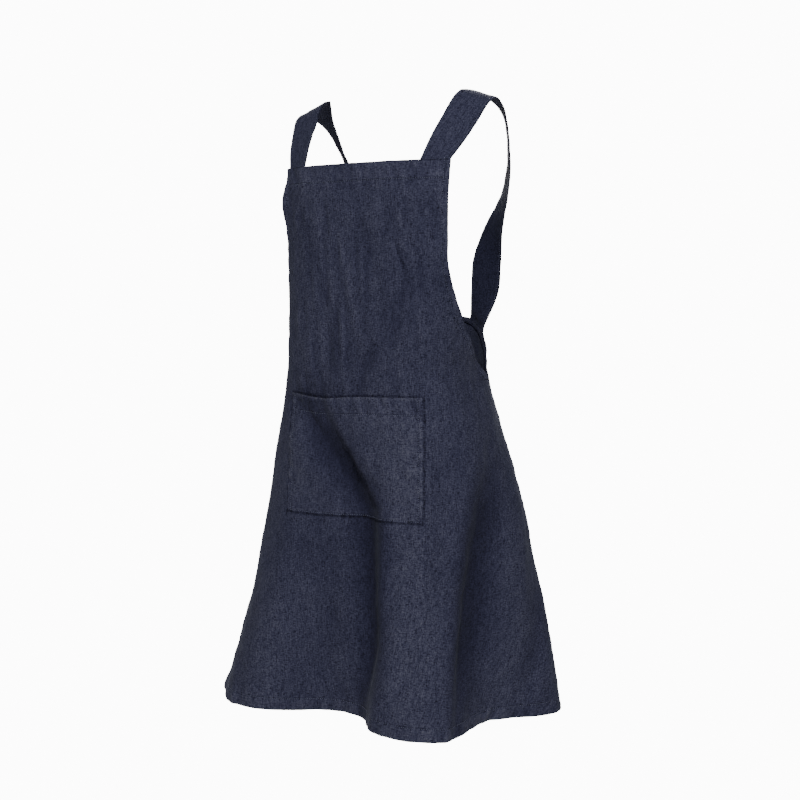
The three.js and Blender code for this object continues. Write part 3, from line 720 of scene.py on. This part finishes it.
LINEN = washed_linen("washed navy linen", "#252637", 0.1)
FRONT_LINEN = washed_linen("washed navy linen, painted shade round the pocket", "#252637", 0.1, pocket=True)
HEM_LINEN = washed_linen("washed navy linen, turned and stitched", "#28293a", 0.06)
THREAD = sewing_thread("navy sewing thread", "#2c2d3e", "#5a5e72")


def add_cloth(name, node, material, slot, *wall, **more):
    """A piece of cloth that takes the place of one node."""
    return add_piece(name, cloth_wall(name, *wall, **more), material, [node])


# Front: bib and skirt in one piece. Rows crowd where the armhole sweeps out.

PANEL_EDGE = 0.04  # degrees that the panels keep clear of the edges' own angles


def front_grid(columns):
    low = np.linspace(HEM_Z, UNDERARM_Z, 118)[:-1]
    arm = UNDERARM_Z + (BIB_Z - UNDERARM_Z) * (1 - ARMHOLE_START) * np.linspace(0, 1, 62) ** 1.8
    high = np.linspace(arm[-1], BIB_Z, 44)[1:]
    heights = np.concatenate([low, arm, high])
    share = np.linspace(-1, 1, columns)
    angles = []
    for z in heights:
        row = arc_row(z)
        edge = float(front_edge(z)) - PANEL_EDGE
        left, right = np.interp([edge, -edge], ARC_ANGLES, row)
        length = np.where(share > 0, share * left, -share * right)
        angles.append(np.interp(length, row, ARC_ANGLES))
    return np.array(angles), np.repeat(heights[:, None], columns, axis=1)


angle, z = front_grid(190)
top, side, foot = edge_distances(angle, z)
rim = np.minimum(np.minimum(top, side), foot)
front = add_cloth(
    "front", "front_panel", FRONT_LINEN, "linen",
    angle, z, 0, (top - BIB_HEM, side - EDGE_HEM, foot - SKIRT_HEM), edge=(rim, rim))
front_size = (np.ptp(along(angle, z)) * MM, (LENGTH - BIB_DROP) * MM)
cut = {"front": (front, front_size, flat_area(angle, z), [])}


# Back panels

def back_grid(side_sign, rows, columns):
    level = np.concatenate([[HEM_Z], np.linspace(HEM_Z + SKIRT_HEM, UNDERARM_Z, rows - 1)])[:, None]
    t = np.linspace(0, 1, columns)[None, :]
    base = np.minimum(level, HEM_Z + SKIRT_HEM)
    share = (level - base) / (UNDERARM_Z - base)
    z = mix(base, back_top(mix(SEAM_ANGLE + PANEL_EDGE, back_edge(level), t)), share)
    angle = mix(SEAM_ANGLE + PANEL_EDGE, back_edge(z), t)
    if side_sign < 0:
        return -angle[:, ::-1], z[:, ::-1]
    return angle, z


SIDES = (("left", 1), ("right", -1))
for name, sign in SIDES:
    angle, z = back_grid(sign, 130, 62)
    edge = np.abs(along(np.sign(angle) * back_edge(z), z)) - np.abs(along(angle, z))
    top = back_top(np.abs(angle)) - z
    back = add_cloth(
        f"back_{name}", f"back_panel_{name}", LINEN, "linen",
        angle, z, 0, (top - EDGE_HEM, edge - EDGE_HEM, z - HEM_Z - SKIRT_HEM))
    widest = np.ptp(along(angle, z), axis=1).max()
    cut[name] = (back, (widest * MM, (LENGTH - BACK_DROP) * MM), flat_area(angle, z), [])


# Pocket

def pocket_sag(s, up):
    """How far it hangs down. up is 0 at the pocket's foot and 1 at its mouth."""
    return POCKET_SAG * near(s - SAG_CENTRE, SAG_WIDTH) * up ** 2


def pocket_offset(s, z):
    across = np.minimum(np.abs(s) / (POCKET_WIDTH / 2), 1)
    up = np.clip((z - POCKET_FOOT_Z) / POCKET_HEIGHT, 0, 1)
    mouth = POCKET_MOUTH * smooth(up * 1.6) * (1 - across ** 6)
    creases = 0.5 * crumple(s + 0.5 * z, z, 17, 30, 31) + 0.35 * crumple(s, z - 0.4 * s, 9, 12, 32)
    corner = near(POCKET_WIDTH / 2 - np.abs(s), 16) * near(POCKET_Z - z, 22)
    creases += 0.9 * corner * crumple(s + z, z - s, 8, 16, 33)
    inside = smooth((1 - across) * 9) * smooth(up * 12)
    return POCKET_LAYER + mouth + creases * inside


def pocket_grid(low, high, rows, columns, inset=0.0):
    share = np.linspace(-1, 1, columns)[None, :]
    s = share * (POCKET_WIDTH / 2 - inset)
    height = np.linspace(low, high, rows)[:, None]
    up = np.clip((height - POCKET_FOOT_Z) / POCKET_HEIGHT, 0, 1)
    z = height - pocket_sag(s, up)
    angle = np.empty(z.shape)
    for i in np.ndindex(z.shape):
        angle[i] = np.interp(s[0, i[1]], arc_row(z[i]), ARC_ANGLES)
    return angle, z, s + 0 * z, height + 0 * z


angle, z, s, height = pocket_grid(POCKET_FOOT_Z, POCKET_Z, 96, 110)
side = POCKET_WIDTH / 2 - np.abs(s)
foot = height - POCKET_FOOT_Z
rim = np.minimum(side, foot)
# The pocket is drawn paler all over, painted light for a side that faces the lamp, and paler still along
# its mouth and in spots beside its edges
POCKET_PAINTED_LIGHT, PALE_MOUTH, PALE_SPOTS = 1.5, 32, 6
spots = near(rim - 4.5, 2.8) * np.maximum(PALE_SPOTS + 7 * crumple(s, z, 60, 6, 25), 0)
worn = POCKET_PAINTED_LIGHT + PALE_MOUTH * near(POCKET_Z - height, 2.6) + spots
pocket = add_cloth(
    "patch_pocket", "pocket", LINEN, "linen", angle, z, pocket_offset(s, z),
    (height - POCKET_Z + POCKET_HEM, side - POCKET_STITCH, foot - POCKET_FOOT_STITCH),
    edge=(rim, rim), worn=worn)
angle, z, s, height = pocket_grid(POCKET_Z - POCKET_HEM, POCKET_Z - 0.5, 16, 90, 4)
pocket_hem = add_cloth(
    "patch_pocket_top", "pocket_hem", HEM_LINEN, "linen_hem",
    angle, z, pocket_offset(s, z) + POCKET_HEM_LAYER,
    (height - POCKET_Z + POCKET_HEM - POCKET_MOUTH_STITCH, far_like(z), far_like(z)), HEM_CLOTH)


# Turned hems, as bands inside the panels. Each follows an edge of the cut cloth.

CLEAR = 0.4  # mm, or degrees round, that hems and strap ends keep clear of the panels' edges
HEM_END = 0.6  # mm that upright bands stop short of the bottom hem's band


def edge_band(edge, width, inward, rows):
    """A grid of places from an edge into the cloth, to the left (1) or right (-1) of its direction."""
    edge = np.asarray(edge, float)
    reach = np.linalg.norm(body_point(edge[:, 0], edge[:, 1])[:, :2], axis=1)
    ahead = np.gradient(edge, axis=0)
    across, up = np.radians(ahead[:, 0]) * reach, ahead[:, 1]
    size = np.hypot(across, up)
    depth = np.linspace(CLEAR, width, rows)[:, None] * inward
    angle = edge[None, :, 0] - np.degrees(up * depth / size / reach)
    return angle, edge[None, :, 1] + across * depth / size, np.abs(depth) + 0 * angle


def add_band(node, angle, z, depth, width, offset):
    """A band from a grid of places, turned so that its rows rise and its outer side faces out."""
    if depth[0, 0] > depth[-1, 0]:
        angle, z, depth = angle[::-1], z[::-1], depth[::-1]
    facing = np.cross(
        body_point(angle[0, 1], z[0, 1]) - body_point(angle[0, 0], z[0, 0]),
        body_point(angle[1, 0], z[1, 0]) - body_point(angle[0, 0], z[0, 0]))
    outward = body_point(angle[0, 0], z[0, 0]) * (1, 1, 0)
    if facing @ outward < 0:
        angle, z, depth = angle[:, ::-1], z[:, ::-1], depth[:, ::-1]
    lines = (far_like(z), width - HEM_STITCH - depth, far_like(z))
    return add_cloth(node + "_band", node, HEM_LINEN, "linen_hem", angle, z, offset, lines, HEM_CLOTH)


def edge_length(edge):
    p = body_point(edge[:, 0], edge[:, 1])
    return float(np.linalg.norm(np.diff(p, axis=0), axis=1).sum())


def bottom_edge(steps):
    low = np.linspace(-1, 1, steps)
    end = back_edge(HEM_Z)
    angle = np.interp(low * np.interp(end, ARC_ANGLES, ARC[2]), ARC[2], ARC_ANGLES)
    return np.stack([np.clip(angle, -end, end), np.full(steps, float(HEM_Z))], -1)


def armhole_edge(sign):
    arm = UNDERARM_Z + (BIB_Z - UNDERARM_Z) * np.linspace(1, 0, 130) ** 1.5
    front_side = np.stack([front_edge(arm), arm], -1)
    corner = float(back_edge(-BACK_DROP))
    behind = np.linspace(SEAM_ANGLE, corner - CLEAR, 60)[1:]
    edge = np.concatenate([front_side, np.stack([behind, back_top(behind)], -1)])
    edge[:, 0] *= sign
    return edge


def back_side_edge(sign):
    z = np.linspace(HEM_Z + SKIRT_HEM + HEM_END, -BACK_DROP - EDGE_HEM - 1, 120)
    return np.stack([sign * back_edge(z), z], -1)


hem_edge = bottom_edge(560)
angle, z, depth = edge_band(hem_edge, SKIRT_HEM, 1, 7)
bottom_hem = add_band("bottom_hem", angle, z, depth, SKIRT_HEM, HEM_LAYER)
edge_length(hem_edge) * MM
for name, sign in SIDES:
    edge = armhole_edge(sign)
    angle, z, depth = edge_band(edge, EDGE_HEM, -sign, 5)
    cut["front"][3].append(add_band(f"armhole_hem_{name}", angle, z, depth, EDGE_HEM, ARMHOLE_LAYER))
    edge = back_side_edge(sign)
    angle, z, depth = edge_band(edge, EDGE_HEM, sign, 5)
    cut[name][3].append(add_band(f"back_edge_hem_{name}", angle, z, depth, EDGE_HEM, HEM_LAYER))
    seam = np.linspace(HEM_Z + SKIRT_HEM + HEM_END, UNDERARM_Z - EDGE_HEM - 2, 130)
    spread = np.linspace(-SEAM_ALLOWANCE, SEAM_ALLOWANCE, 9)
    z = np.repeat(seam[:, None], len(spread), axis=1)
    angle = sign * angle_along(SEAM_ANGLE, (sign * spread)[None, :], z)
    lines = (far_like(z), np.abs(spread)[None, :] + 0 * z, far_like(z))
    allowance = add_cloth(f"seam_allowance_{name}", f"side_seam_{name}", HEM_LINEN, "linen_hem",
                          angle, z, HEM_LAYER, lines, HEM_CLOTH)

height = np.linspace(BIB_Z - BIB_HEM, BIB_Z - CLEAR, 12)[:, None]
share = np.linspace(-1, 1, 150)[None, :]
z = height + 0 * share
reach = angle_along(front_edge(height[:, 0]), -(EDGE_HEM + 0.8), height[:, 0])[:, None]
angle = share * reach
lines = (z - BIB_Z + BIB_HEM - HEM_STITCH, far_like(z), far_like(z))
bib_hem = add_cloth("bib_hem_band", "bib_hem", HEM_LINEN, "linen_hem",
                    angle, z, HEM_LAYER, lines, HEM_CLOTH)


# Straps: pressed tubes of linen, stitched along both edges

ACROSS = np.linspace(-1, 1, 17)
FREE_STEPS = 12
LOWER_STEPS = 10
SETTLE_ROWS = 14  # rows over which creases grow where a strap leaves the cloth that it is sewn to
STRAP_SHADE = 3.0  # mm of depth that looks as dark as the straps' outer side
STRAP_INSIDE_SHADE = 19.0  # the same for the painted shade on their inner side behind the shoulder, where the wearer would shade it
BEHIND_SHOULDER = (260, 60)  # mm along a strap where that begins, and over how far it grows


def strap_foot_rows(sign):
    """Rows of the strap's front end, flat behind the bib's hem."""
    z = np.linspace(BIB_Z - BIB_HEM + CLEAR, BIB_Z, 10)
    length = BIB_WIDTH / 2 - CLEAR - STRAP_FOOT * STRAP_WIDTH * (1 - ACROSS) / 2
    zz = np.repeat(z[:, None], len(ACROSS), axis=1)
    return cloth_point(sign * angle_along(0, length[None, :], zz), zz, STRAP_FRONT_LAYER)


def strap_lower_rows(sign, lift):
    """Rows on the back panels, from above the crossing to the sewn end. lift takes it over the other."""
    out, down = np.array(STRAP_LOWER).T
    out, down = out * STRAP_END_OUT, -CROSS_DROP - down * (STRAP_END_DROP - CROSS_DROP)
    keys = np.arange(len(out))
    last = keys[-1]
    at = np.linspace(0, last, last * LOWER_STEPS + 1)
    place = np.stack([through(keys, out, at), through(keys, down, at)], -1)
    ahead = np.stack([through(keys, c, np.minimum(at + 0.1, last)) for c in (out, down)], -1)
    behind = np.stack([through(keys, c, np.maximum(at - 0.1, 0)) for c in (out, down)], -1)
    run = ahead - behind
    run *= STRAP_WIDTH / 2 / np.linalg.norm(run, axis=1, keepdims=True)
    away = np.hypot(place[:, 0], place[:, 1] + CROSS_DROP)
    over = lift * smooth((1.75 - away / STRAP_WIDTH) / 0.8)
    z = place[:, [1]] + ACROSS * run[:, [0]]
    x = place[:, [0]] - ACROSS * run[:, [1]]
    return cloth_point(sign * angle_along(180, -x, z), z, STRAP_BACK_LAYER + over[:, None])


def strap_free_rows(sign, foot_row, lower_row):
    """Rows of the free length over the shoulder, between the two sewn ends."""
    middles = [(foot_row[0] + foot_row[-1]) / 2]
    widths = [(foot_row[-1] - foot_row[0]) / 2]
    for rows, height in ((STRAP_FRONT, BIB_DROP), (STRAP_BACK, BACK_DROP)):
        for out, back, down, wide, left, right, tilt in rows:
            turn, tip = np.radians(left if sign > 0 else right), np.radians(tilt)
            width = np.array([sign * np.cos(turn), np.sin(turn), np.tan(tip)])
            widths.append(width / np.linalg.norm(width) * wide * STRAP_WIDTH / 2)
            middles.append(np.array([sign * out * SHOULDER_HALF_SPAN, back * HEM_BACK, -down * height]))
    middles.append((lower_row[0] + lower_row[-1]) / 2)
    widths.append((lower_row[-1] - lower_row[0]) / 2)
    keys = np.arange(len(middles))
    at = np.linspace(0, keys[-1], keys[-1] * FREE_STEPS + 1)[1:-1]
    middle = np.stack([through(keys, np.array(middles)[:, c], at) for c in range(3)], -1)
    width = np.stack([through(keys, np.array(widths)[:, c], at) for c in range(3)], -1)
    return middle[:, None, :] + ACROSS[None, :, None] * width[:, None, :]


def strap_grid(sign, lift):
    """A strap's rows of middle points, their normals, its half thickness, and flat places u, v."""
    foot = strap_foot_rows(sign)
    lower = strap_lower_rows(sign, lift)
    free = strap_free_rows(sign, foot[-1], lower[0])
    rows = np.concatenate([foot, free, lower])
    if sign < 0:
        rows = rows[:, ::-1]
    wide = np.gradient(rows, axis=1)
    tall = np.gradient(rows, axis=0)
    normal = np.cross(wide, tall)
    normal /= np.linalg.norm(normal, axis=-1, keepdims=True)
    middle = rows[:, len(ACROSS) // 2]
    run = np.concatenate([[0], np.cumsum(np.linalg.norm(np.diff(middle, axis=0), axis=1))])
    v = np.repeat(run[:, None], len(ACROSS), axis=1)
    u = np.repeat(ACROSS[None, :] * STRAP_WIDTH / 2, len(rows), axis=0)
    inset = STRAP_WIDTH / 2 - np.abs(u)
    seed = 40 if sign > 0 else 50
    soft = 0.5 * crumple(u, v, 30, 48, seed) + 0.25 * crumple(u + v, v, 11, 14, seed + 1)
    puckers = 0.22 * near(inset - 3, 5) * crumple(u, v, 60, 7, seed + 2)
    count = np.arange(len(rows))
    loose = smooth((count - len(foot) - 6) / SETTLE_ROWS)
    loose = loose * smooth((len(rows) - len(lower) - count) / SETTLE_ROWS)
    wave = (soft + puckers) * np.maximum(loose, 0.25)[:, None]
    thinner = np.sqrt(np.clip(inset / 3, 0.12, 1))
    half = (STRAP_CLOTH / 2 * thinner)[..., None]
    return rows + normal * wave[..., None], normal, half, u, v


straps = {}
for name, sign, lift in (("left", 1, 0), ("right", -1, STRAP_OVER)):
    rows, normal, half, u, v = strap_grid(sign, lift)
    edge_line = STRAP_WIDTH / 2 - np.abs(u) - STRAP_STITCH
    end_line = v[-1] - v - STRAP_END_STITCH
    start, growth = BEHIND_SHOULDER
    inner_shade = mix(INSIDE_SHADE, STRAP_INSIDE_SHADE, smooth((v - start) / growth))
    mesh = make_mesh(f"pressed_strap_{name}", rows + normal * half, rows - normal * half, (u, v),
                     (end_line, edge_line, far_like(v)), (0 * v + STRAP_SHADE, inner_shade))
    straps[name] = (rows, normal)
    strap = add_piece(f"pressed_strap_{name}", mesh, LINEN, [f"strap_{name}"])


# Stitches: short lengths of thread set along each seam line by Geometry Nodes

def stitch_nodes():
    """A node group that sets stitches along a curve, with named inputs."""
    tree = bpy.data.node_groups.new("stitches", "GeometryNodeTree")
    for label, kind, value in (
        ("Geometry", "NodeSocketGeometry", None),
        ("Pitch", "NodeSocketFloat", STITCH_PITCH * MM),
        ("Stitch length", "NodeSocketFloat", STITCH_LENGTH * MM),
        ("Thread", "NodeSocketFloat", THREAD_WIDTH * MM),
        ("Material", "NodeSocketMaterial", None),
    ):
        socket = tree.interface.new_socket(label, in_out="INPUT", socket_type=kind)
        if value is not None:
            socket.default_value = value
    tree.interface.new_socket("Geometry", in_out="OUTPUT", socket_type="NodeSocketGeometry")
    given = add_node(tree, "NodeGroupInput").outputs
    points = add_node(tree, "GeometryNodeCurveToPoints", {"mode": "LENGTH"},
                      {"Curve": given["Geometry"], "Length": given["Pitch"]}).outputs
    turn = add_node(tree, "FunctionNodeAlignRotationToVector", {"axis": "X"},
                    {"Vector": points["Tangent"]}).outputs
    bead = add_node(tree, "GeometryNodeMeshIcoSphere", None, {"Radius": 0.5, "Subdivisions": 1}).outputs
    size = add_node(tree, "ShaderNodeCombineXYZ", None,
                    [given["Stitch length"], given["Thread"], given["Thread"]]).outputs
    stitches = add_node(tree, "GeometryNodeInstanceOnPoints", None, {
        "Points": points["Points"],
        "Instance": bead["Mesh"],
        "Rotation": turn["Rotation"],
        "Scale": size[0],
    }).outputs
    real = add_node(tree, "GeometryNodeRealizeInstances", None, [stitches["Instances"]]).outputs
    dressed = add_node(tree, "GeometryNodeSetMaterial", None,
                       {"Geometry": real["Geometry"], "Material": given["Material"]}).outputs
    add_node(tree, "NodeGroupOutput", None, [dressed["Geometry"]])
    return tree


STITCHES = stitch_nodes()


def add_stitches(name, paths):
    """One piece of thread from several lines of points in mm."""
    curve = bpy.data.curves.new(name, "CURVE")
    curve.dimensions = "3D"
    for path in paths:
        spline = curve.splines.new("POLY")
        spline.points.add(len(path) - 1)
        spline.points.foreach_set("co", np.c_[path * MM, np.ones(len(path))].astype(np.float32).ravel())
    held = bpy.data.objects.new(name + "_lines", curve)
    bpy.context.scene.collection.objects.link(held)
    modifier = held.modifiers.new("stitches", "NODES")
    modifier.node_group = STITCHES
    for item in STITCHES.interface.items_tree:
        if item.item_type == "SOCKET" and item.in_out == "INPUT" and item.name == "Material":
            modifier[item.identifier] = THREAD
    bpy.context.view_layer.update()
    graph = bpy.context.evaluated_depsgraph_get()
    mesh = bpy.data.meshes.new_from_object(held.evaluated_get(graph))
    bpy.data.objects.remove(held)
    mesh.polygons.foreach_set("use_smooth", np.ones(len(mesh.polygons), bool))
    mesh.materials.clear()
    return add_piece(name, mesh, THREAD)


ON_TOP = CLOTH / 2 + 0.1
STRAP_SURFACE = STRAP_CLOTH / 2 + 0.05


def line_at(angle, z, offset=ON_TOP):
    return cloth_point(np.asarray(angle, float), np.asarray(z, float), offset)


def inner_line(edge, width, inward):
    """The stitch line that runs a hem's width inside an edge."""
    angle, z, _ = edge_band(edge, width, inward, 2)
    return line_at(angle[1], z[1])


skirt_lines = [inner_line(bottom_edge(700), SKIRT_HEM, 1)]
for _, sign in SIDES:
    skirt_lines.append(inner_line(armhole_edge(sign), EDGE_HEM, -sign))
    skirt_lines.append(inner_line(back_side_edge(sign), EDGE_HEM, sign))
bib_row = np.full(200, float(BIB_Z - BIB_HEM))
end = float(front_edge(BIB_Z - BIB_HEM)) * 0.985  # short of the armholes' edges
skirt_lines.append(line_at(np.linspace(-end, end, len(bib_row)), bib_row))
add_stitches("panel_stitches", skirt_lines)


def pocket_line(s, z):
    s, z = np.broadcast_arrays(np.asarray(s, float), np.asarray(z, float))
    up = np.clip((z - POCKET_FOOT_Z) / POCKET_HEIGHT, 0, 1)
    sunk = z - pocket_sag(s, up)
    angle = np.array([np.interp(a, arc_row(b), ARC_ANGLES) for a, b in zip(s, sunk)])
    return line_at(angle, sunk, pocket_offset(s, z) + ON_TOP)


inset = POCKET_WIDTH / 2 - POCKET_STITCH
foot_line = POCKET_FOOT_Z + POCKET_FOOT_STITCH
upright = np.linspace(foot_line, POCKET_Z - 1, 120)
level = np.linspace(-inset, inset, 150)
add_stitches("pocket_stitches", [
    pocket_line(-inset, upright),
    pocket_line(inset, upright),
    pocket_line(level, foot_line),
    pocket_line(level, POCKET_Z - POCKET_HEM),
])
strap_lines = []
for rows, normal in straps.values():
    for face in (1, -1):
        for k in (1, len(ACROSS) - 2):
            strap_lines.append(rows[:, k] + normal[:, k] * face * STRAP_SURFACE)
add_stitches("strap_stitches", strap_lines)


# Floor, light and camera. The floor and the studio round it are seen as one even white.

WHITE = 12.0  # how bright the plain ground is to the camera
FLOOR_Z = -1.5
FLOOR_RADIUS = 14
FLOOR_SIDES = 96
TARGET = Vector((0, 0, -0.5))
ROOM_LIGHT = 0.012


def seen_white(tree, lit, end):
    """Plain white to the camera, and what lit gives to every other ray."""
    seen = add_node(tree, "ShaderNodeEmission", None, {"Strength": WHITE}).outputs[0]
    ray = add_node(tree, "ShaderNodeLightPath").outputs["Is Camera Ray"]
    either = add_node(tree, "ShaderNodeMixShader", None, [ray, lit.outputs[0], seen])
    add_node(tree, end, None, [either.outputs[0]])


floor_mesh = bpy.data.meshes.new("floor")
turns = np.linspace(0, 2 * np.pi, FLOOR_SIDES, endpoint=False)
ring = [(FLOOR_RADIUS * np.cos(a), FLOOR_RADIUS * np.sin(a), FLOOR_Z) for a in turns]
floor_mesh.from_pydata(ring, [], [list(range(FLOOR_SIDES))])
floor = bpy.data.objects.new("floor", floor_mesh)
bpy.context.scene.collection.objects.link(floor)
pale, tree = new_material("pale floor")
matt = add_node(tree, "ShaderNodeBsdfDiffuse", None, {"Color": linear("#dcdcdc")})
seen_white(tree, matt, "ShaderNodeOutputMaterial")
floor_mesh.materials.append(pale)


def studio_light(name, azimuth, elevation, distance, size, power):
    """A round soft light, by degrees round from the front and up, metres and watts."""
    light = bpy.data.lights.new(name, "AREA")
    light.shape, light.size, light.energy = "DISK", size, power
    holder = bpy.data.objects.new(name, light)
    bpy.context.scene.collection.objects.link(holder)
    a, e = np.radians(azimuth), np.radians(elevation)
    way = Vector((np.sin(a) * np.cos(e), -np.cos(a) * np.cos(e), np.sin(e)))
    holder.location = TARGET + way * distance
    holder.rotation_euler = way.to_track_quat("Z", "Y").to_euler()


studio_light("key", 31, 40, 5.0, 0.9, 375)
studio_light("fill", -30, 8, 3.4, 1.6, 3)
studio_light("top", 40, 78, 2.6, 1.4, 5)
studio_light("rear", 205, 30, 3.2, 2.0, 170)

world = bpy.data.worlds.new("studio")
bpy.context.scene.world = world
world.use_nodes = True
world.node_tree.nodes.clear()
room = add_node(world.node_tree, "ShaderNodeBackground", None,
                {"Color": linear("#eef0f5"), "Strength": ROOM_LIGHT})
seen_white(world.node_tree, room, "ShaderNodeOutputWorld")

# The camera stands where the photo was taken from, turned down and round to the apron
CAMERA_PLACE = (0.9775, -1.6931, -0.311)
CAMERA_DOWN = 4.865
CAMERA_ROUND = 29.81
camera = bpy.data.cameras.new("camera")
camera.lens, camera.sensor_width = 55, 36
view = bpy.data.objects.new("camera", camera)
bpy.context.scene.collection.objects.link(view)
bpy.context.scene.camera = view
view.location = CAMERA_PLACE
view.rotation_euler = np.radians((90 - CAMERA_DOWN, 0, CAMERA_ROUND))
